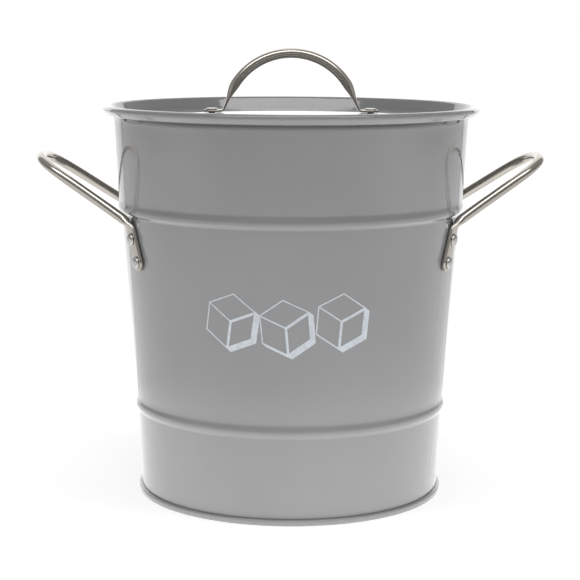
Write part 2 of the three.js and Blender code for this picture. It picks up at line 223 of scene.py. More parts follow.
def revolved(outline: np.ndarray, angle: np.ndarray) -> np.ndarray:
    """Each outline point (r, z) turned to (r cos a, r sin a, z) at every angle a.

    Args:
        outline: Points of shape (n, 2).
        angle: Angles of shape (m,).

    Returns:
        Grid of shape (n, m, 3).
    """
    radius, height = outline[:, 0], outline[:, 1]
    return np.stack((np.outer(radius, np.cos(angle)), np.outer(radius, np.sin(angle)),
                     np.repeat(height[:, None], len(angle), axis=1)), axis=-1)


def ring_faces(rows: int, cols: int, loop: bool) -> tuple[np.ndarray, np.ndarray]:
    """Row and column of the four corners of every quad of a grid whose columns close on themselves.

    Args:
        rows: Number of rows of points.
        cols: Number of columns of points.
        loop: True where the last row joins the first.

    Returns:
        Rows and columns, each of shape (faces, 4), not yet wrapped.
    """
    row, col = np.meshgrid(np.arange(rows if loop else rows - 1), np.arange(cols), indexing="ij")
    row, col = row.ravel(), col.ravel()
    return np.stack((row, row, row + 1, row + 1), 1), np.stack((col, col + 1, col + 1, col), 1)


def signed_volume(points: np.ndarray, faces: list[list[int]]) -> float:
    """Six times the volume inside a closed surface, positive where its faces point outwards."""
    fan = np.array([(f[0], f[k], f[k + 1]) for f in faces for k in range(1, len(f) - 1)])
    a, b, c = (points[fan[:, k]] for k in range(3))
    return float(np.einsum("ij,ij->", a, np.cross(b, c)))


def make_object(name: str, points: np.ndarray, faces: list[list[int]], uv: np.ndarray | None = None
                ) -> bpy.types.Object:
    """A smooth mesh object at the origin, with its faces pointing outwards.

    Args:
        name: Name of the piece.
        points: Vertices of shape (n, 3) in millimetres.
        faces: Vertex numbers of each face.
        uv: Texture place of each corner of each face, in metres.

    Returns:
        The new object, linked to the scene.
    """
    mesh = bpy.data.meshes.new(name)
    inside_out = signed_volume(points, faces) < 0
    if inside_out:
        faces = [face[::-1] for face in faces]
    mesh.from_pydata((points * MM).tolist(), [], faces)
    if uv is not None:
        if inside_out:
            sizes = np.array([len(face) for face in faces])
            starts = np.repeat(np.cumsum(sizes) - sizes, sizes)
            uv = uv[starts + np.repeat(sizes, sizes) - 1 - ragged_arange(sizes)]
        layer = mesh.uv_layers.new(name="surface")
        layer.data.foreach_set("uv", uv.astype(np.float32).ravel())
    mesh.polygons.foreach_set("use_smooth", np.ones(len(faces), bool))
    mesh.validate()
    mesh.update()
    made = bpy.data.objects.new(name, mesh)
    bpy.context.scene.collection.objects.link(made)
    return made


def loop_surface(grid: np.ndarray) -> tuple[np.ndarray, list[list[int]]]:
    """Points and quads of a grid whose rows and columns both close on themselves."""
    rows, cols = grid.shape[:2]
    row, col = ring_faces(rows, cols, loop=True)
    return grid.reshape(-1, 3), ((row % rows) * cols + col % cols).tolist()


def capped_surface(grid: np.ndarray) -> tuple[np.ndarray, list[list[int]], np.ndarray, np.ndarray]:
    """Points and faces of a grid whose first and last rows each shrink to one point.

    Args:
        grid: Points of shape (rows, cols, 3).

    Returns:
        Points, faces, and the row and column of each corner of each face, for a UV map.
    """
    rows, cols = grid.shape[:2]
    points = np.concatenate((grid[:1, 0], grid[1:-1].reshape(-1, 3), grid[-1:, 0]))
    row, col = ring_faces(rows - 2, cols, loop=False)
    quads = 1 + row * cols + col % cols
    j = np.arange(cols)
    first = np.stack((np.zeros_like(j), 1 + (j + 1) % cols, 1 + j), 1)
    base = 1 + (rows - 3) * cols
    last = np.stack((base + j, base + (j + 1) % cols, np.full_like(j, len(points) - 1)), 1)
    faces = quads[:, [0, 1, 2, 3]].tolist() + first.tolist() + last.tolist()
    tops = np.stack((np.zeros_like(j), np.ones_like(j), np.ones_like(j)), 1)
    ends = np.stack((np.full_like(j, rows - 2), np.full_like(j, rows - 2), np.full_like(j, rows - 1)), 1)
    corner_rows = np.concatenate(((row + 1).ravel(), tops.ravel(), ends.ravel()))
    corner_cols = np.concatenate((col.ravel(), np.stack((j, j + 1, j), 1).ravel(),
                                  np.stack((j, j + 1, j), 1).ravel()))
    return points, faces, corner_rows, corner_cols


def settle(piece: bpy.types.Object, body: Body, slot: Slot, material: bpy.types.Material,
           *nodes: str) -> None:
    """Dresses a piece, makes it ride on its body and lets it stand for its CAD nodes.

    Args:
        piece: The new piece.
        body: Body that it moves with.
        slot: Material slot that its finish comes from; not used.
        material: Its finish.
        nodes: CAD nodes that it stands for.
    """
    piece.data.materials.append(material)
    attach(piece, body.value)
    if nodes:
        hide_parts(*nodes)
    log.info("%s: %d faces on %s", piece.name, len(piece.data.polygons), body.value)


# ----------------------------------------------------------------------------------------- finishes


@dataclass
class Bench:
    """A node tree, and short ways to add nodes to it. A value is a number or another node's socket."""

    tree: bpy.types.NodeTree

    def node(self, kind: str, **settings: object) -> bpy.types.Node:
        """Adds a node of a kind, with its settings and the values of its sockets.

        Args:
            kind: The node's class name.
            settings: Properties, or socket values where the name is that of a socket.

        Returns:
            The new node.
        """
        made = self.tree.nodes.new(kind)
        for key, value in settings.items():
            socket = made.inputs.get(key.replace("_", " "))
            if socket is None:
                setattr(made, key, value)
            else:
                socket.default_value = value
        return made

    def link(self, out: bpy.types.NodeSocket, into: bpy.types.NodeSocket) -> None:
        """Joins two sockets."""
        self.tree.links.new(out, into)

    def feed(self, value: Value, into: bpy.types.NodeSocket) -> None:
        """Gives a socket a number, or the value of another socket."""
        if isinstance(value, bpy.types.NodeSocket):
            self.link(value, into)
        else:
            into.default_value = value

    def maths(self, operation: str, *values: Value) -> bpy.types.NodeSocket:
        """The result of one operation of Blender's Math node."""
        made = self.node("ShaderNodeMath", operation=operation)
        for value, socket in zip(values, made.inputs):
            self.feed(value, socket)
        return made.outputs[0]

    def between(self, share: bpy.types.NodeSocket, first: Value, second: Value) -> bpy.types.NodeSocket:
        """The first value where the share is 0, and the second where it is 1."""
        made = self.node("ShaderNodeMix")
        self.feed(share, made.inputs["Factor"])
        self.feed(first, made.inputs["A"])
        self.feed(second, made.inputs["B"])
        return made.outputs["Result"]

    def mapped(self, value: bpy.types.NodeSocket, given: tuple[float, float], wanted: tuple[Value, Value],
               shape: str = "LINEAR") -> bpy.types.NodeSocket:
        """A value moved from one range to another, and held at its ends.

        Args:
            value: The value.
            given: Range that it comes in.
            wanted: Range that it leaves in.
            shape: Blender's name for the curve between the two ends.

        Returns:
            The moved value.
        """
        made = self.node("ShaderNodeMapRange", interpolation_type=shape)
        for key, number in zip(("Value", "From Min", "From Max", "To Min", "To Max"),
                               (value, *given, *wanted)):
            self.feed(number, made.inputs[key])
        return made.outputs["Result"]

    def either(self, share: bpy.types.NodeSocket, first: bpy.types.NodeSocket,
               second: bpy.types.NodeSocket) -> bpy.types.NodeSocket:
        """The first shader where the share is 0, and the second where it is 1."""
        made = self.node("ShaderNodeMixShader")
        for socket, into in zip((share, first, second), made.inputs):
            self.link(socket, into)
        return made.outputs[0]


@dataclass
class Finish(Bench):
    """A new material's tree, with its Principled shader, and the patterns that finishes share."""

    material: bpy.types.Material
    shader: bpy.types.Node

    @classmethod
    def named(cls, name: str) -> "Finish":
        """Makes a material of a name and finds its shader."""
        material = bpy.data.materials.new(name)
        material.use_nodes = True
        tree = material.node_tree
        return cls(tree, material, tree.nodes["Principled BSDF"])

    def place(self, source: str = "Object", scale: tuple[float, float, float] = (1.0, 1.0, 1.0)
              ) -> bpy.types.NodeSocket:
        """Texture place in metres times a scale, from Object or UV coordinates."""
        where = self.node("ShaderNodeTexCoord")
        turned = self.node("ShaderNodeMapping", Scale=scale)
        self.link(where.outputs[source], turned.inputs["Vector"])
        return turned.outputs["Vector"]

    def noise(self, at: bpy.types.NodeSocket, scale: float, detail: float = 2.0) -> bpy.types.NodeSocket:
        """A noise value at a place."""
        made = self.node("ShaderNodeTexNoise", Scale=scale, Detail=detail)
        self.link(at, made.inputs["Vector"])
        return made.outputs["Fac"]

    def ranged(self, value: bpy.types.NodeSocket, low: float, high: float) -> bpy.types.NodeSocket:
        """A noise value stretched from its usual middle range to a low and a high value."""
        return self.mapped(value, NOISE_RANGE, (low, high))

    def blended(self, value: bpy.types.NodeSocket, dark: Colour, light: Colour) -> bpy.types.NodeSocket:
        """A colour between a dark and a light one, by a noise value."""
        ramp = self.node("ShaderNodeValToRGB")
        for stop, place, colour in zip(ramp.color_ramp.elements, NOISE_RANGE, (dark, light)):
            stop.position = place
            stop.color = (*colour, 1.0)
        self.link(value, ramp.inputs["Fac"])
        return ramp.outputs["Color"]

    def shaded_below(self, colour: bpy.types.NodeSocket, at: bpy.types.NodeSocket, top_mm: float,
                deep_mm: float, shade: float) -> bpy.types.NodeSocket:
        """A colour darkened in a band below a level edge: painted shade, as under the rim's overhang.

        Args:
            colour: Colour on open ground.
            at: Place in metres.
            top_mm: Height of the band's upper edge, where the painted shade stops at once.
            deep_mm: How far below that edge the shade fades out.
            shade: Share of the colour that is left along the edge.

        Returns:
            The darkened colour.
        """
        axes = self.node("ShaderNodeSeparateXYZ")
        self.link(at, axes.inputs[0])
        height = axes.outputs["Z"]
        # Painted shade: darker towards the band's top edge, and cut off at once above it.
        fade = self.mapped(height, ((top_mm - deep_mm) * MM, (top_mm - GAP) * MM), (1.0, shade), "SMOOTHSTEP")
        above = self.maths("GREATER_THAN", height, top_mm * MM)
        mixed = self.node("ShaderNodeVectorMath", operation="SCALE")
        self.link(colour, mixed.inputs[0])
        self.link(self.maths("MAXIMUM", fade, above), mixed.inputs["Scale"])
        return mixed.outputs["Vector"]

    def dress(self, colour: bpy.types.NodeSocket, roughness: bpy.types.NodeSocket) -> None:
        """Gives the shader its colour and its roughness."""
        self.link(colour, self.shader.inputs["Base Color"])
        self.link(roughness, self.shader.inputs["Roughness"])

    def raise_by(self, *heights: tuple[bpy.types.NodeSocket, float]) -> None:
        """Gives the shader bumps on top of each other, each a height pattern and its depth in mm."""
        normal = self.shader.inputs["Normal"]
        for height, depth_mm in heights:
            made = self.node("ShaderNodeBump", Strength=1.0, Distance=depth_mm * MM)
            self.link(height, made.inputs["Height"])
            self.link(made.outputs["Normal"], normal)
            normal = made.inputs["Normal"]


@dataclass(frozen=True)
class Enamel:
    """Gloss enamel sprayed on sheet steel: a slightly uneven grey under a clear, lightly rippled gloss. Where
    a height is given, painted shade darkens the grey just below it.
    """

    dark: Colour = (0.225, 0.226, 0.231)
    light: Colour = (0.245, 0.246, 0.250)
    cloud_scale: float = 14.0
    gloss: float = 0.09
    dull: float = 0.144
    dull_scale: float = 60.0
    peel_scale: float = 330.0
    peel_mm: float = 0.0035
    press_scale: float = 24.0
    press_mm: float = 0.049
    coat_roughness: float = 0.02
    # Painted shade under the rim: the height of its top, how far down it fades, and the share of grey left at
    # its top.
    painted_shade_top_mm: float | None = None
    painted_shade_depth_mm: float = 3.4
    painted_shade_share: float = 0.12

    def material(self, name: str) -> bpy.types.Material:
        """Builds the finish."""
        finish = Finish.named(name)
        at = finish.place()
        colour = finish.blended(finish.noise(at, self.cloud_scale, 3.0), self.dark, self.light)
        # Painted shade below the rim's curl, where a height is given.
        if self.painted_shade_top_mm is not None:
            colour = finish.shaded_below(colour, at, self.painted_shade_top_mm, self.painted_shade_depth_mm, self.painted_shade_share)
        finish.dress(colour, finish.ranged(finish.noise(at, self.dull_scale), self.gloss, self.dull))
        finish.raise_by((finish.noise(at, self.press_scale, 0.0), self.press_mm),
                        (finish.noise(at, self.peel_scale, 1.0), self.peel_mm))
        finish.shader.inputs["Coat Weight"].default_value = 1.0
        finish.shader.inputs["Coat Roughness"].default_value = self.coat_roughness
        return finish.material


@dataclass(frozen=True)
class BrushedSteel:
    """Stainless steel brushed along its length: fine streaks in colour, gloss and height."""

    dark: Colour = (0.45, 0.418, 0.372)
    light: Colour = (0.61, 0.578, 0.525)
    smooth: float = 0.11
    rough: float = 0.2
    fine_streaks: tuple[float, float, float] = (18.0, 2600.0, 1.0)
    broad_streaks: tuple[float, float, float] = (9.0, 420.0, 1.0)
    groove_mm: float = 0.006

    def material(self, name: str) -> bpy.types.Material:
        """Builds the finish; its streaks follow the piece's own UV map, along u."""
        finish = Finish.named(name)
        fine = finish.noise(finish.place("UV", self.fine_streaks), 1.0, 3.0)
        broad = finish.noise(finish.place("UV", self.broad_streaks), 1.0)
        finish.dress(finish.blended(broad, self.dark, self.light),
                     finish.ranged(fine, self.smooth, self.rough))
        finish.raise_by((fine, self.groove_mm))
        finish.shader.inputs["Metallic"].default_value = 1.0
        return finish.material


@dataclass(frozen=True)
class RivetSteel:
    """Bright steel with the small marks that a setting tool leaves."""

    dark: Colour = (0.52, 0.515, 0.50)
    light: Colour = (0.72, 0.715, 0.70)
    smooth: float = 0.24
    rough: float = 0.38
    speck_scale: float = 900.0
    dent_scale: float = 500.0
    dent_mm: float = 0.03

    def material(self, name: str) -> bpy.types.Material:
        """Builds the finish."""
        finish = Finish.named(name)
        at = finish.place()
        speck = finish.noise(at, self.speck_scale, 3.0)
        finish.dress(finish.blended(speck, self.dark, self.light),
                     finish.ranged(speck, self.smooth, self.rough))
        finish.raise_by((finish.noise(at, self.dent_scale, 1.0), self.dent_mm))
        finish.shader.inputs["Metallic"].default_value = 1.0
        return finish.material


@dataclass(frozen=True)
class PrintInk:
    """Pale screen-printing ink, a little thinner in places."""

    dark: Colour = (0.49, 0.525, 0.565)
    light: Colour = (0.56, 0.60, 0.64)
    smooth: float = 0.22
    rough: float = 0.34
    cover_scale: float = 260.0

    def material(self, name: str) -> bpy.types.Material:
        """Builds the finish."""
        finish = Finish.named(name)
        cover = finish.noise(finish.place(), self.cover_scale, 3.0)
        finish.dress(finish.blended(cover, self.dark, self.light),
                     finish.ranged(cover, self.smooth, self.rough))
        return finish.material


# --------------------------------------------------------------------------------------------- pail


@dataclass
class PailWall:
    """The tapered wall with its rolled rim, its two beads, the hook at its foot and its side seam."""

    height: float = 218.9
    rim_radius: float = 105.0
    top_radius: float = 98.77
    foot_radius: float = 84.7
    rim_drop: float = 9.4
    roll_radius: float = 2.0
    flare_rise: float = 2.3
    flare_start: float = 0.48
    curl_face: tuple[float, float] = (2.35, 5.25)
    curl_end: tuple[float, float] = (4.25, 5.73)
    lower_bead_z: float = 50.9
    lower_bead_radius: float = 87.22
    lower_bead_proud: float = 1.15
    upper_bead_z: float = 162.6
    upper_bead_radius: float = 95.45
    upper_bead_step: float = 0.95
    upper_bead_proud: float = 0.45
    bead_half_height: float = 4.3
    seam_height: float = 3.6
    side_seam_half_width: float = 4.2
    side_seam_proud: float = 0.6
    side_seam_reach: float = 4.0
    curl_corner: float = 0.4
    segments: int = 200

    def radius(self, z: float | np.ndarray) -> np.ndarray:
        """Outer radius of the straight wall at a height, without its beads, by straight lines."""
        above = self.upper_bead_radius + self.upper_bead_step
        lower = np.interp(z, (self.seam_height, self.lower_bead_z, self.upper_bead_z),
                          (self.foot_radius, self.lower_bead_radius, self.upper_bead_radius))
        upper = np.interp(z, (self.upper_bead_z, self.height - self.rim_drop), (above, self.top_radius))
        return np.where(np.asarray(z) < self.upper_bead_z, lower, upper)

    def bead(self, z: float, crest: float) -> np.ndarray:
        """Centre line over a bead: two S curves, each level with the wall at its end and at the crest.

        Args:
            z: Height of the crest.
            crest: Outer radius of the crest.

        Returns:
            Array of shape (n, 2).
        """
        half = SHEET / 2
        low, high = z - self.bead_half_height, z + self.bead_half_height
        lean = self.bead_half_height / 2
        start, end, top = self.radius(low) - half, self.radius(high) - half, crest - half
        up = bezier([(start, low), (start, low + lean), (top, z - lean), (top, z)], 14)
        down = bezier([(top, z), (top, z + lean), (end, high - lean), (end, high)], 14)
        return np.concatenate((up, down[1:]))

    def flare(self) -> tuple[float, float, float]:
        """Where the straight flare starts, and its angle above level, which makes it meet the roll."""
        x = self.top_radius + self.flare_start - SHEET / 2
        y = self.height - self.rim_drop + self.flare_rise
        dx = self.rim_radius - self.roll_radius - x
        dy = self.height - self.roll_radius - y
        radius = self.roll_radius - SHEET / 2
        return x, y, math.atan2(dy, dx) + math.asin(radius / math.hypot(dx, dy))

    def centre_line(self) -> np.ndarray:
        """Centre of the sheet from the hook in the base seam up to the curl under the rim."""
        half = SHEET / 2
        x, y, angle = self.flare()
        inset = half * math.sqrt(0.5)
        foot_x, hook_x = self.foot_radius - half, self.foot_radius + GAP + half
        turn = (hook_x - foot_x) / 2
        hook_z = SHEET + GAP + half + turn
        hook = arc((foot_x + turn, hook_z), turn, 0, -180)
        top = self.height - self.rim_drop
        into_flare = bezier(
            [(self.top_radius - half, top),
             (x - self.flare_rise / 3 / math.tan(angle), y - self.flare_rise / 3), (x, y)], 12)
        roll = arc((self.rim_radius - self.roll_radius, self.height - self.roll_radius),
                   self.roll_radius - half, math.degrees(angle) + 90, -45, 26)
        curl = rounded([
            (*roll[-1], 0.0),
            (self.rim_radius - self.curl_face[0] - inset, self.height - self.curl_face[1] + inset,
             self.curl_corner),
            (self.rim_radius - self.curl_end[0] - inset, self.height - self.curl_end[1] + inset, 0.0)])
        line = np.concatenate((
            [(hook_x, self.seam_height - SHEET - GAP)], hook, [(foot_x, self.seam_height)],
            self.bead(self.lower_bead_z, self.lower_bead_radius + self.lower_bead_proud),
            self.bead(self.upper_bead_z, float(self.radius(self.upper_bead_z + self.bead_half_height))
                      + self.upper_bead_proud),
            into_flare, roll, curl[1:]))
        return spaced(line, 3.0)

    def angles(self) -> np.ndarray:
        """Angles round the wall, closer together across the side seam at the back."""
        reach = math.radians(self.side_seam_reach)
        fine = np.pi / 2 + np.linspace(-reach, reach, 41)
        coarse = azimuths(self.segments)
        coarse = coarse[np.abs(coarse - np.pi / 2) > reach]
        return np.sort(np.concatenate((coarse, fine)))

    def side_seam(self, grid: np.ndarray, angle: np.ndarray) -> np.ndarray:
        """Moves the outer face out along a folded seam up the back.

        The step is a flat band with smooth shoulders, 1 - (d / w)^10 of the distance d from the
        seam's middle, and it fades out below the rim's flare and above the base seam.

        Args:
            grid: Points of the wall, of shape (rows, cols, 3).
            angle: Angle of each column.

        Returns:
            The moved points.
        """
        radius = np.hypot(grid[..., 0], grid[..., 1])
        height = grid[..., 2]
        away = (angle[None] - np.pi / 2) * radius / self.side_seam_half_width
        band = np.clip(1 - np.abs(away) ** 10, 0, 1)
        fade = np.clip((height - self.seam_height - 1) / 3, 0, 1)
        fade *= np.clip((self.height - self.rim_drop - 1 - height) / 5, 0, 1)
        outside = radius > self.radius(height) - SHEET / 2
        scale = 1 + self.side_seam_proud * band * fade * outside / radius
        return grid * np.stack((scale, scale, np.ones_like(scale)), -1)

    def build(self, material: bpy.types.Material) -> None:
        """Makes the wall."""
        angle = self.angles()
        grid = self.side_seam(revolved(sheet_outline(self.centre_line()), angle), angle)
        points, faces = loop_surface(grid)
        piece = make_object("pail_wall_enamelled", points, faces)
        settle(piece, Body.PAIL, Slot.PAINT, material, "pail_wall")


@dataclass
class BasePan:
    """The base, whose rim is folded round the wall's hook in a double seam."""

    wall: PailWall
    rise: float = 3.0
    corner: float = 0.9
    segments: int = 240

    def build(self, material: bpy.types.Material) -> None:
        """Makes the base: its outline runs out along the floor, round the hook and over it."""
        half = SHEET / 2
        inner = self.wall.foot_radius - SHEET - GAP - half
        outer = self.wall.foot_radius + SHEET + 2 * GAP + half
        top = self.wall.seam_height - half
        line = spaced(rounded([
            (0.0, self.rise + half, 0.0), (inner, self.rise + half, self.corner),
            (inner, half, self.corner), (outer, half, self.corner), (outer, top, self.corner),
            (self.wall.foot_radius + GAP, top, 0.0)]), 6.0)
        grid = revolved(sheet_outline(line, on_axis=True), azimuths(self.segments))
        points, faces, _, _ = capped_surface(grid)
        settle(make_object("base_pan_enamelled", points, faces), Body.PAIL, Slot.PAINT, material, "base_pan")


# ------------------------------------------------------------------------------------------ handles


def smoothstep(value: np.ndarray, low: float, high: float) -> np.ndarray:
    """0 below low, 1 above high, and 3 t^2 - 2 t^3 between them."""
    t = np.clip((value - low) / (high - low), 0, 1)
    return t * t * (3 - 2 * t)


def unit(vectors: np.ndarray) -> np.ndarray:
    """Vectors of length 1."""
    return vectors / np.linalg.norm(vectors, axis=-1, keepdims=True)


@dataclass
class Rod:
    """Round rod with flattened, round-ended feet, bent along a path.

    Across the rod its section is a superellipse, |x / a|^n + |y / b|^n = 1. It is nearly a rectangle
    on the feet and a circle between them. At each end both half sizes shrink to nothing.
    """

    diameter: float = 5.5
    strap_width: float = 9.5
    strap_thickness: float = 2.1
    strap_power: float = 0.35
    around: int = 40
    spacing: float = 0.9

    def stations(self, length: float) -> np.ndarray:
        """Distances along the rod at which it gets a ring: close together towards both ends."""
        cap = self.strap_width / 2
        ends = cap * (1 - np.cos(np.linspace(0, np.pi / 2, 18)))
        middle = np.linspace(cap, length - cap, int((length - 2 * cap) / self.spacing))
        return np.concatenate((ends, middle[1:-1], length - ends[::-1]))

    def grid(self, path: np.ndarray, normal_at: Callable, strap_end: float, rod_start: float
             ) -> tuple[np.ndarray, np.ndarray]:
        """Rings of points along the path.

        Args:
            path: Dense points of the rod's axis.
            normal_at: Function from distances to the directions of the strap's thickness.
            strap_end: Distance from each end at which the strap starts to turn into rod.
            rod_start: Distance from each end at which it is all rod.

        Returns:
            Grid of shape (rings, around, 3), and the distance of each ring.
        """
        steps = np.linalg.norm(np.diff(path, axis=0), axis=1)
        run = np.concatenate(([0.0], np.cumsum(steps)))
        along = self.stations(run[-1])
        point = np.column_stack([np.interp(along, run, path[:, k]) for k in range(3)])
        tangents = unit(np.gradient(path, run, axis=0))
        tangent = unit(np.column_stack([np.interp(along, run, tangents[:, k]) for k in range(3)]))
        from_end = np.minimum(along, run[-1] - along)
        turned = smoothstep(from_end, strap_end, rod_start)
        cap = np.clip(1 - from_end / (self.strap_width / 2), 0, 1)
        wide = self.strap_width * np.sqrt(1 - cap**2) * (1 - turned) + self.diameter * turned
        deep = self.strap_thickness * np.sqrt(1 - cap**14) * (1 - turned) + self.diameter * turned
        power = self.strap_power + (1 - self.strap_power) * turned
        side = unit(np.cross(tangent, normal_at(from_end, along, run[-1])))
        normal = np.cross(side, tangent)
        angle = azimuths(self.around)
        cos, sin = np.cos(angle)[None], np.sin(angle)[None]
        across = np.sign(cos) * np.abs(cos) ** power[:, None] * wide[:, None] / 2
        through = np.sign(sin) * np.abs(sin) ** power[:, None] * deep[:, None] / 2
        rings = point[:, None] + across[..., None] * side[:, None] + through[..., None] * normal[:, None]
        return rings, along

    def piece(self, name: str, grid: np.ndarray, along: np.ndarray) -> bpy.types.Object:
        """Makes the rod, with a UV map of its length and its girth in metres."""
        points, faces, row, col = capped_surface(grid)
        girth = math.pi * self.diameter / self.around
        uv = np.column_stack((along[row], col * girth)) * MM
        return make_object(name, points, faces, uv)


def mirrored(half: list[np.ndarray], flip: tuple[float, float, float]) -> np.ndarray:
    """One half of a path, followed by its mirror image taken backwards, without doubled points."""
    line = np.concatenate([half[0], *[part[1:] for part in half[1:]]])
    return np.concatenate((line, (line * np.array(flip))[::-1][1:]))


@dataclass
class Rivet:
    """A round-headed rivet: a domed head, a shank through the strap and the sheet, and a set tail."""

    shank_radius: float = 1.8
    head_radius: float = 3.4
    head_height: float = 1.9
    tail_radius: float = 2.8
    tail_height: float = 1.1
    edge: float = 0.25
    play: float = 0.05
    segments: int = 40

    def build(self, name: str, origin: np.ndarray, normal: np.ndarray, rod: Rod, sheet_back: float,
              body: Body, material: bpy.types.Material) -> None:
        """Makes a rivet whose head lies on a strap.

        Args:
            name: The CAD node that it stands for.
            origin: Where its axis leaves the sheet.
            normal: Direction of its axis, towards its head.
            rod: The rod that it holds.
            sheet_back: Distance from the origin to the sheet's hidden face.
            body: Body that it moves with.
            material: Its finish.
        """
        head_z = rod.strap_thickness + GAP + self.play
        tail_z = -sheet_back - self.play
        brim_z = head_z + 2 * self.edge
        outline = np.concatenate((
            [(0.0, tail_z - self.tail_height)],
            rounded([(0.0, tail_z - self.tail_height, 0.0),
                     (self.tail_radius - self.tail_height / 3, tail_z - self.tail_height, self.edge),
                     (self.tail_radius, tail_z, self.edge), (self.shank_radius, tail_z, 0.0)])[1:],
            [(self.shank_radius, head_z)],
            rounded([(self.shank_radius, head_z, 0.0), (self.head_radius, head_z, self.edge),
                     (self.head_radius, brim_z, 0.0)])[1:],
            bezier([(self.head_radius, brim_z),
                    (self.head_radius * 0.93, head_z + self.head_height * 0.86),
                    (self.head_radius * 0.5, head_z + self.head_height),
                    (0.0, head_z + self.head_height)], 16)[1:]))
        grid = revolved(spaced(outline, 0.8), azimuths(self.segments))
        across = unit(np.cross((0.0, 1.0, 0.0) if abs(normal[1]) < 0.9 else (1.0, 0.0, 0.0), normal))
        turn = np.stack((across, np.cross(normal, across), normal))
        points, faces, _, _ = capped_surface(grid @ turn + origin)
        settle(make_object(f"{name}_set", points, faces), body, Slot.RIVET, material, name)


@dataclass
class CarryHandles:
    """The two carrying handles, each a loop that rises from two feet riveted to the wall."""

    wall: PailWall
    rod: Rod
    rivet: Rivet
    foot_azimuth: float = 26.7
    foot_z: float = 142.0
    foot_splay: float = 21.5
    foot_rise: float = 15.2
    rivet_pitch: float = 13.0
    bend: float = 5.0
    tilt: float = 33.8
    turn_start: float = 39.75
    leg_inset: float = 12.5
    turn_width: float = 33.4
    wall_back: float = SHEET + 0.15
    reach: float = field(init=False)

    def __post_init__(self) -> None:
        """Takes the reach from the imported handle's box, so that the loop ends where it does."""
        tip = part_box("right_handle")[1].x / MM - self.rod.diameter / 2
        corner = self.on_foot(-1, self.foot_rise, self.lift)
        self.reach = (tip - corner[0]) / math.cos(math.radians(self.tilt))

    @property
    def lift(self) -> float:
        """Height of the strap's middle above the wall."""
        return GAP + self.rod.strap_thickness / 2

    def foot(self, side: int) -> tuple[np.ndarray, np.ndarray, np.ndarray]:
        """Middle of a foot on the wall, the wall's normal and the direction up the foot.

        Args:
            side: 1 for the rear foot and -1 for the front one, of the handle on the +X side.

        Returns:
            Middle, normal and rise.
        """
        azimuth, splay = math.radians(self.foot_azimuth), math.radians(self.foot_splay)
        slope = math.atan(float(self.wall.radius(self.foot_z + 1) - self.wall.radius(self.foot_z - 1)) / 2)
        outward = np.array([math.cos(azimuth), side * math.sin(azimuth), 0.0])
        level = np.array([-math.sin(azimuth), side * math.cos(azimuth), 0.0])
        middle = outward * float(self.wall.radius(self.foot_z)) + (0.0, 0.0, self.foot_z)
        up = outward * math.sin(slope) + (0.0, 0.0, math.cos(slope))
        normal = outward * math.cos(slope) - (0.0, 0.0, math.sin(slope))
        return middle, normal, up * math.cos(splay) - level * math.sin(splay)

    def on_foot(self, side: int, rise: float, lift: float) -> np.ndarray:
        """A point a distance up a foot and another off the wall."""
        middle, normal, up = self.foot(side)
        return middle + up * rise + normal * lift

    @property
    def foot_end(self) -> float:
        """Distance from the middle of a foot down to its end."""
        return (self.rivet_pitch + self.rod.strap_width) / 2

    def path(self) -> np.ndarray:
        """Axis of the right handle: up a foot, round its bend, and out along a loop in a tilted plane."""
        tilt = math.radians(self.tilt)
        corner = self.on_foot(-1, self.foot_rise, self.lift)

        def in_plane(u: float, y: float) -> np.ndarray:
            """A point of the loop's plane, by its distance out from the bends and its y."""
            return np.array([corner[0] + u * math.cos(tilt), y, corner[2] + u * math.sin(tilt)])

        aim = in_plane(self.turn_start, corner[1] + self.leg_inset)
        start = corner + unit(aim - corner) * self.bend
        low = self.on_foot(-1, -self.foot_end, self.lift)
        high = self.on_foot(-1, self.foot_rise - self.bend, self.lift)
        half = [bezier([low, high], 60), bezier([high, corner, start], 60),
                bezier([start, aim, in_plane(self.reach, -self.turn_width), in_plane(self.reach, 0.0)], 400)]
        return mirrored(half, (1, -1, 1))

    def normal_at(self, from_end: np.ndarray, along: np.ndarray, length: float) -> np.ndarray:
        """Direction of the strap's thickness: the wall's normal on the feet, then the loop's underside."""
        tilt = math.radians(self.tilt)
        under = np.array([math.sin(tilt), 0.0, -math.cos(tilt)])
        bend_at = self.foot_end + self.foot_rise
        front = (along < length / 2)[:, None]
        foot = np.where(front, self.foot(-1)[1], self.foot(1)[1])
        share = smoothstep(from_end, bend_at - self.bend, bend_at + self.bend)[:, None]
        return foot * (1 - share) + under * share

    def build(self, steel: bpy.types.Material, rivet_steel: bpy.types.Material) -> None:
        """Makes both handles and their eight rivets."""
        bend_at = self.foot_end + self.foot_rise
        grid, along = self.rod.grid(self.path(), self.normal_at, bend_at - self.bend, bend_at + self.bend)
        for side in Side:
            turn = np.array([side.value, side.value, 1.0])
            name = f"{side.name.lower()}_handle"
            piece = self.rod.piece(f"{name}_rod", grid * turn, along)
            settle(piece, Body.PAIL, Slot.HANDLE, steel, name)
            for place, end in (("front", -1), ("rear", 1)):
                for row, rise in (("upper", self.rivet_pitch / 2), ("lower", -self.rivet_pitch / 2)):
                    self.rivet.build(f"{name}_rivet_{place}_{row}", self.on_foot(end, rise, 0.0) * turn,
                                     self.foot(end)[1] * turn, self.rod, self.wall_back, Body.PAIL,
                                     rivet_steel)


# ---------------------------------------------------------------------------------------------- lid


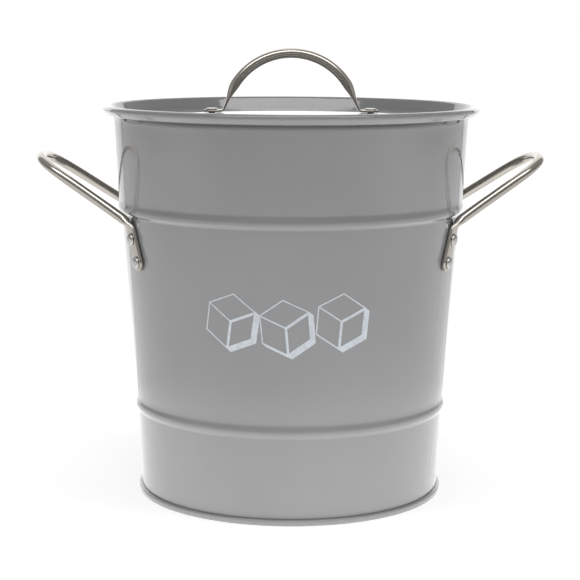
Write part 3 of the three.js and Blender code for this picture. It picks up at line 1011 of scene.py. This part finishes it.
@dataclass
class Lid:
    """The loose lid: a low dome with a rolled edge, and an arched handle riveted to it."""

    wall: PailWall
    rod: Rod
    rivet: Rivet
    dome: float = 1.5
    edge_drop: float = 5.7
    curl_radius: float = 1.2
    arch_drop: float = 4.4
    leg_angle: float = 21.7
    rivet_x: float = 44.5
    bend: float = 2.0
    segments: int = 240

    @property
    def edge_radius(self) -> float:
        """Radius of the middle of the rolled edge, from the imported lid's box."""
        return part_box("lid_panel")[1].x / MM - self.curl_radius

    @property
    def top(self) -> float:
        """Height of the lid's centre."""
        return self.wall.height - self.edge_drop + self.dome

    def height(self, r: float | np.ndarray) -> float | np.ndarray:
        """Height of the upper face: it falls with the square of the radius."""
        return self.top - self.dome * (r / self.edge_radius) ** 2

    def foot(self, side: int) -> tuple[np.ndarray, np.ndarray, np.ndarray]:
        """Where a rivet passes the lid's face, the face's normal and the way out along it.

        Args:
            side: 1 on the +X side and -1 on the other.

        Returns:
            Point, normal and way out.
        """
        slope = 2 * self.dome * self.rivet_x / self.edge_radius**2
        point = np.array([side * self.rivet_x, 0.0, float(self.height(self.rivet_x))])
        normal = np.array([side * math.sin(slope), 0.0, math.cos(slope)])
        return point, normal, np.array([side * math.cos(slope), 0.0, -math.sin(slope)])

    def handle_path(self) -> tuple[np.ndarray, float]:
        """Axis of the arched handle, and how far along it the first foot's bend is."""
        angle = math.radians(self.leg_angle)
        centre = self.top - self.arch_drop
        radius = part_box("lid_handle")[1].z / MM - self.rod.diameter / 2 - centre
        point, normal, out = self.foot(1)
        leg_top = np.array([radius * math.cos(angle), 0.0, centre + radius * math.sin(angle)])
        down = np.array([math.sin(angle), 0.0, -math.cos(angle)])
        on_foot = point + normal * (GAP + self.rod.strap_thickness / 2)
        corner = leg_top + down * (leg_top[2] - on_foot[2]) / math.cos(angle)
        end = on_foot + out * self.rod.strap_width / 2
        low = corner + unit(end - corner) * self.bend
        high = corner - down * self.bend
        arch = np.radians(np.linspace(self.leg_angle, 90, 260))
        half = [bezier([end, low], 60), bezier([low, corner, high], 40), bezier([high, leg_top], 40),
                np.column_stack((radius * np.cos(arch), np.zeros_like(arch), centre + radius * np.sin(arch)))]
        return mirrored(half, (-1, 1, 1)), float(np.linalg.norm(end - low)) + self.bend

    def build(self, paint: bpy.types.Material, steel: bpy.types.Material,
              rivet_steel: bpy.types.Material) -> None:
        """Makes the panel, the handle and its two rivets."""
        half = SHEET / 2
        r = np.linspace(0.0, self.edge_radius, 40)
        curl = arc((self.edge_radius, self.height(self.edge_radius) - self.curl_radius),
                   self.curl_radius - half, 90, -108, 22)
        line = np.concatenate((np.column_stack((r, self.height(r) - half)), curl[1:]))
        grid = revolved(sheet_outline(line, on_axis=True), azimuths(self.segments))
        points, faces, _, _ = capped_surface(grid)
        settle(make_object("lid_panel_enamelled", points, faces), Body.LID, Slot.PAINT, paint, "lid_panel")
        path, bend_at = self.handle_path()
        tangent = unit(np.gradient(path, axis=0))
        steps = np.linalg.norm(np.diff(path, axis=0), axis=1)
        run = np.concatenate(([0.0], np.cumsum(steps)))
        outward = -np.cross((0.0, 1.0, 0.0), tangent)

        def normal_at(from_end: np.ndarray, along: np.ndarray, length: float) -> np.ndarray:
            """Direction of the strap's thickness: square to the path, in its plane."""
            return np.column_stack([np.interp(along, run, outward[:, k]) for k in range(3)])

        grid, along = self.rod.grid(path, normal_at, bend_at + self.bend, bend_at + 3 * self.rod.diameter)
        settle(self.rod.piece("lid_handle_rod", grid, along), Body.LID, Slot.HANDLE, steel, "lid_handle")
        for side, sign in (("right", 1), ("left", -1)):
            point, normal, _ = self.foot(sign)
            self.rivet.build(f"lid_rivet_{side}", point, normal, self.rod, SHEET, Body.LID, rivet_steel)


# -------------------------------------------------------------------------------------------- print


@dataclass
class IceCubePrint:
    """Three outlined ice cubes with drop shadows, printed round the front of the wall."""

    wall: PailWall
    azimuth: float = -93.2
    centre_z: float = 109.6
    cube_radius: float = 15.0
    pitch: float = 29.4
    tilts: tuple[float, ...] = (-9.0, 5.0, -4.0)
    rises: tuple[float, ...] = (1.2, -1.4, 1.6)
    line: float = 0.65
    shadow: tuple[float, float] = (2.4, -1.9)
    ink: float = 0.05
    outline_lift: float = 0.075
    shadow_lift: float = 0.064
    edge_lift: float = 0.067
    edge_shadow_lift: float = 0.058
    edge_shadow: float = 0.3
    lift_step: float = 0.002
    step: float = 1.6

    def on_wall(self, flat: np.ndarray, lift: float) -> np.ndarray:
        """Wraps flat points round the wall: the first coordinate is the length round it, the second up it.

        Args:
            flat: Points of shape (..., 2), counted from the middle of the print.
            lift: Height off the wall.

        Returns:
            Points of shape (..., 3).
        """
        z = self.centre_z + flat[..., 1]
        radius = self.wall.radius(z) + lift
        angle = math.radians(self.azimuth) + flat[..., 0] / float(self.wall.radius(self.centre_z))
        return np.stack((radius * np.cos(angle), radius * np.sin(angle), z), -1)

    def patch(self, corners: np.ndarray, lift: float) -> tuple[np.ndarray, np.ndarray]:
        """A thin closed slab over four flat corners, as a grid that follows the wall.

        Args:
            corners: Four points of shape (4, 2), in order round the patch.
            lift: Height of the ink's upper face off the wall.

        Returns:
            Points and quads.
        """
        long_way = max(np.linalg.norm(corners[1] - corners[0]), np.linalg.norm(corners[2] - corners[3]))
        n = max(2, int(long_way / self.step) + 2)
        s = np.linspace(0, 1, n)[:, None]
        low, high = corners[0] * (1 - s) + corners[1] * s, corners[3] * (1 - s) + corners[2] * s
        ring = [self.on_wall(low, lift), self.on_wall(high, lift),
                self.on_wall(high, lift - self.ink), self.on_wall(low, lift - self.ink)]
        points = np.stack(ring, 1)
        i = np.arange(n - 1)[:, None]
        k = np.arange(4)[None]
        sides = np.stack((4 * i + k, 4 * i + (k + 1) % 4, 4 * i + 4 + (k + 1) % 4, 4 * i + 4 + k), -1)
        end = 4 * (n - 1)
        caps = np.array([[3, 2, 1, 0], [end, end + 1, end + 2, end + 3]])
        return points.reshape(-1, 3), np.concatenate((sides.reshape(-1, 4), caps))

    def cube(self, middle: np.ndarray, tilt: float) -> list[tuple[np.ndarray, float]]:
        """The flat patches of one cube, each with its height off the wall.

        A cube seen from a corner is a hexagon with three lines from its middle. The outline is mitred,
        and the shadow lies along the sides that face the way it falls.

        Args:
            middle: Middle of the cube.
            tilt: Degrees that it is turned.

        Returns:
            Four corners and a height for each patch; no two patches that cross share a height.
        """
        angle = np.radians(90 + tilt + 60 * np.arange(6))
        spoke = np.column_stack((np.cos(angle), np.sin(angle)))
        outer = middle + spoke * self.cube_radius
        inner = middle + spoke * (self.cube_radius - self.line / math.cos(math.pi / 6))
        fall = np.array(self.shadow)
        found = []
        for i in range(6):
            j = (i + 1) % 6
            found.append((np.array([outer[i], outer[j], inner[j], inner[i]]), self.outline_lift))
            out = outer[i] + outer[j] - 2 * middle
            if out @ fall > 0:
                found.append((np.array([outer[i], outer[j], outer[j] + fall, outer[i] + fall]),
                              self.shadow_lift))
        for order, i in enumerate((1, 3, 5)):
            across = np.array([-spoke[i][1], spoke[i][0]]) * self.line / 2
            end = inner[i]
            step = self.lift_step * order
            found.append((np.array([middle - across, end - across, end + across, middle + across]),
                          self.edge_lift + step))
            side = np.sign(across @ fall) * across
            start, stop, short = middle + side, end + side, self.edge_shadow * fall
            found.append((np.array([start, stop, stop + short, start + short]),
                          self.edge_shadow_lift + step))
        return found

    def build(self, material: bpy.types.Material) -> None:
        """Makes the print as one piece."""
        points, faces, start = [], [], 0
        columns = (np.arange(len(self.tilts)) - (len(self.tilts) - 1) / 2) * self.pitch
        for column, tilt, rise in zip(columns, self.tilts, self.rises):
            for corners, lift in self.cube(np.array([column, rise]), tilt):
                if signed_area(corners) < 0:
                    corners = corners[::-1]
                made, quads = self.patch(corners, lift)
                points.append(made)
                faces.append(quads + start)
                start += len(made)
        piece = make_object("front_print", np.concatenate(points), np.concatenate(faces).tolist())
        piece.data.polygons.foreach_set("use_smooth", np.zeros(len(piece.data.polygons), bool))
        settle(piece, Body.PAIL, Slot.PAINT, material)


def signed_area(corners: np.ndarray) -> float:
    """Area of a flat polygon, positive where its corners run anticlockwise."""
    after = np.roll(corners, -1, axis=0)
    return float(np.sum(corners[:, 0] * after[:, 1] - after[:, 0] * corners[:, 1])) / 2


# ------------------------------------------------------------------------------------------- studio


@dataclass
class Camera:
    """A long lens in front of the bucket, a little above its rim and looking slightly down."""

    distance: float = 961.4
    height: float = 266.1
    turn: float = 1.6
    pitch: float = 9.013
    roll: float = 0.28
    lens: float = 105.98
    shift: float = -0.0006

    def build(self) -> None:
        """Makes the camera and sets it as the scene's."""
        turn, pitch, roll = (math.radians(a) for a in (self.turn, self.pitch, self.roll))
        ahead = np.array([math.sin(turn) * math.cos(pitch), math.cos(turn) * math.cos(pitch),
                          -math.sin(pitch)])
        right = np.array([math.cos(turn), -math.sin(turn), 0.0])
        up = np.cross(right, ahead)
        right, up = (right * math.cos(roll) + up * math.sin(roll),
                     up * math.cos(roll) - right * math.sin(roll))
        data = bpy.data.cameras.new("camera")
        data.lens = self.lens
        data.shift_x = self.shift
        data.clip_end = 50.0
        made = bpy.data.objects.new("camera", data)
        bpy.context.scene.collection.objects.link(made)
        place = np.array([-self.distance * math.sin(turn), -self.distance * math.cos(turn), self.height])
        columns = np.column_stack((right, up, -ahead))
        matrix = Matrix(columns.tolist()).to_4x4()
        matrix.translation = place * MM
        made.matrix_world = matrix
        bpy.context.scene.camera = made


@dataclass(frozen=True)
class Lamp:
    """A soft box: a square or oblong lamp that points at a place on the bucket.

    One that isn't seen isn't mirrored, and one that doesn't light is only mirrored.
    """

    name: str
    place: tuple[float, float, float]
    size: tuple[float, float]
    power: float
    aim: tuple[float, float, float] = (0.0, 0.0, 0.11)
    seen: bool = True
    lights: bool = True

    def build(self) -> None:
        """Makes the lamp."""
        data = bpy.data.lights.new(self.name, "AREA")
        data.shape = "RECTANGLE"
        data.size, data.size_y = self.size
        data.energy = self.power
        made = bpy.data.objects.new(self.name, data)
        bpy.context.scene.collection.objects.link(made)
        back = unit(np.array(self.place) - np.array(self.aim))
        across = unit(np.cross((0.0, 0.0, 1.0) if abs(back[2]) < 0.99 else (0.0, 1.0, 0.0), back))
        matrix = Matrix(np.column_stack((across, np.cross(back, across), back)).tolist()).to_4x4()
        matrix.translation = self.place
        made.matrix_world = matrix
        made.visible_camera = False
        made.visible_glossy = self.seen
        made.visible_diffuse = self.lights


@dataclass(frozen=True)
class Studio:
    """White floor, white surroundings and soft boxes.

    Glows are strengths, and edges are the distances in metres from the bucket's axis between which a
    glow changes, or for the ceiling the heights of a direction. The backdrop gives degrees off the +Y
    axis, clockwise from above, and the grey there. What the far floor mirrors is that grey times the
    first number of far_mirrored, plus the second.
    """

    daylight: float = 0.26
    near_glow: float = 1.5
    far_glow: float = 0.2
    near_mirrored: float = 0.6
    far_mirrored: tuple[float, float] = (0.45, 0.16)
    near_edge: tuple[float, float] = (0.2, 0.31)
    seen_glow: tuple[float, float] = (0.5, 0.85)
    seen_edge: tuple[float, float] = (0.3, 1.4)
    backdrop: tuple[tuple[float, float], ...] = (
        (-180.0, 0.07), (-100.0, 0.07), (-41.0, 0.3), (-40.5, 0.0), (-37.0, 0.0), (-36.5, 1.0),
        (34.5, 1.0), (35.0, 0.0), (38.5, 0.0), (39.0, 0.35), (100.0, 0.1), (180.0, 0.07),
    )
    backdrop_strength: float = 1.25
    ceiling: float = 0.3
    ceiling_edge: tuple[float, float] = (0.1, 0.3)
    floor_half: float = 30.0
    floor_white: tuple[float, float, float, float] = (0.86, 0.86, 0.86, 1.0)
    lamps: tuple[Lamp, ...] = (
        Lamp("overhead", (0.0, 0.1, 1.5), (1.6, 1.6), 7.0, seen=False),
        Lamp("left", (-1.3, -0.5, 0.75), (0.7, 1.0), 4.2, seen=False),
        Lamp("right", (1.3, -0.5, 0.75), (0.7, 1.0), 4.8, seen=False),
        Lamp("front", (0.1, -1.6, 0.9), (1.2, 0.7), 5.0, seen=False),
        Lamp("sheen", (0.0, -0.9, 1.4), (2.4, 0.5), 11.5, lights=False),
    )

    def band(self, bench: Bench, place: bpy.types.NodeSocket
             ) -> tuple[bpy.types.NodeSocket, bpy.types.NodeSocket]:
        """Grey of the studio by the angle round the upright axis, from straight behind the bucket.

        Args:
            bench: Bench of the world's or the floor's tree.
            place: Place or direction.

        Returns:
            The grey, and the height of the place.
        """
        axes = bench.node("ShaderNodeSeparateXYZ")
        bench.link(place, axes.inputs[0])
        angle = bench.maths("ARCTAN2", axes.outputs["X"], axes.outputs["Y"])
        ramp = bench.node("ShaderNodeValToRGB")
        stops = ramp.color_ramp.elements
        places = [0.5 + degrees / 360 for degrees, _ in self.backdrop]
        stops[0].position, stops[1].position = places[0], places[-1]
        for here in places[1:-1]:
            stops.new(here)
        for stop, (_, grey) in zip(stops, self.backdrop):
            stop.color = (grey, grey, grey, 1.0)
        bench.link(bench.mapped(angle, (-math.pi, math.pi), (0.0, 1.0)), ramp.inputs["Fac"])
        return ramp.outputs["Color"], axes.outputs["Z"]

    def world(self) -> None:
        """Surroundings: white where they are seen, and a studio with a white backdrop where mirrored.

        The studio is a band of greys by the angle round the upright axis, with the white backdrop
        behind the bucket, its two edges, and the dim room on the other sides. A pale ceiling rises
        out of it.
        """
        world = bpy.data.worlds.new("surroundings")
        world.use_nodes = True
        bench = Bench(world.node_tree)
        dim = world.node_tree.nodes["Background"]
        dim.inputs["Color"].default_value = WHITE
        dim.inputs["Strength"].default_value = self.daylight
        white = bench.node("ShaderNodeBackground", Color=WHITE)
        room = bench.node("ShaderNodeBackground", Strength=self.backdrop_strength)
        grey, height = self.band(bench, bench.node("ShaderNodeTexCoord").outputs["Generated"])
        rise = bench.mapped(height, self.ceiling_edge, (0.0, self.ceiling))
        bench.link(bench.maths("MAXIMUM", grey, rise), room.inputs["Color"])
        path = bench.node("ShaderNodeLightPath").outputs
        mirrored = bench.either(path["Is Glossy Ray"], white.outputs[0], room.outputs[0])
        seen = bench.maths("MAXIMUM", path["Is Camera Ray"], path["Is Glossy Ray"])
        seen = bench.maths("MAXIMUM", seen, path["Is Transmission Ray"])
        bench.link(bench.either(seen, dim.outputs[0], mirrored),
                   world.node_tree.nodes["World Output"].inputs["Surface"])
        bpy.context.scene.world = world

    def floor(self) -> None:
        """A wide white floor that keeps the bucket's shadow and throws light up from near its foot.

        Where it is seen it glows evenly. Where it is mirrored, its far part carries the studio's greys.
        """
        half = self.floor_half
        mesh = bpy.data.meshes.new("floor")
        mesh.from_pydata([(-half, -half, 0), (half, -half, 0), (half, half, 0), (-half, half, 0)], [],
                         [(0, 1, 2, 3)])
        floor = bpy.data.objects.new("floor", mesh)
        bpy.context.scene.collection.objects.link(floor)
        material = bpy.data.materials.new("white_floor")
        material.use_nodes = True
        bench = Bench(material.node_tree)
        matt = bench.node("ShaderNodeBsdfDiffuse", Color=self.floor_white)
        glow = bench.node("ShaderNodeEmission")
        place = bench.node("ShaderNodeTexCoord").outputs["Object"]
        length = bench.node("ShaderNodeVectorMath", operation="LENGTH")
        bench.link(place, length.inputs[0])
        away = length.outputs["Value"]
        path = bench.node("ShaderNodeLightPath").outputs
        grey, _ = self.band(bench, place)
        mirrored = bench.maths("MULTIPLY_ADD", grey, *self.far_mirrored)
        near = bench.between(path["Is Glossy Ray"], self.near_glow, self.near_mirrored)
        far = bench.between(path["Is Glossy Ray"], self.far_glow, mirrored)
        lighting = bench.mapped(away, self.near_edge, (near, far), "SMOOTHSTEP")
        look = bench.mapped(away, self.seen_edge, self.seen_glow, "SMOOTHSTEP")
        bench.link(bench.between(path["Is Camera Ray"], lighting, look), glow.inputs["Strength"])
        lit = bench.node("ShaderNodeAddShader")
        bench.link(matt.outputs[0], lit.inputs[0])
        bench.link(glow.outputs[0], lit.inputs[1])
        bench.link(lit.outputs[0], material.node_tree.nodes["Material Output"].inputs["Surface"])
        mesh.materials.append(material)

    def build(self) -> None:
        """Makes the surroundings, the floor and the lamps."""
        self.world()
        self.floor()
        for lamp in self.lamps:
            lamp.build()
        bpy.context.scene.view_settings.view_transform = "Standard"


def main() -> None:
    """Builds the camera, the studio and every piece of the ice bucket."""
    logging.basicConfig(level=logging.INFO, format="%(name)s %(message)s")
    Camera().build()
    Studio().build()
    paint = Enamel().material("grey_enamel")
    steel = BrushedSteel().material("brushed_steel")
    rivet_steel = RivetSteel().material("rivet_steel")
    wall = PailWall()
    # The wall's enamel has painted shade just below the curl under the rim.
    wall_paint = Enamel(painted_shade_top_mm=wall.height - wall.curl_end[1] - 0.1).material("creased_enamel")
    rod, rivet = Rod(), Rivet()
    lid_rod, flat_rivet = Rod(strap_thickness=1.4), Rivet(head_height=0.9)
    wall.build(wall_paint)
    BasePan(wall).build(paint)
    CarryHandles(wall, rod, rivet).build(steel, rivet_steel)
    Lid(wall, lid_rod, flat_rivet).build(paint, steel, rivet_steel)
    IceCubePrint(wall).build(PrintInk().material("print_ink"))


if __name__ == "__main__":
    main()
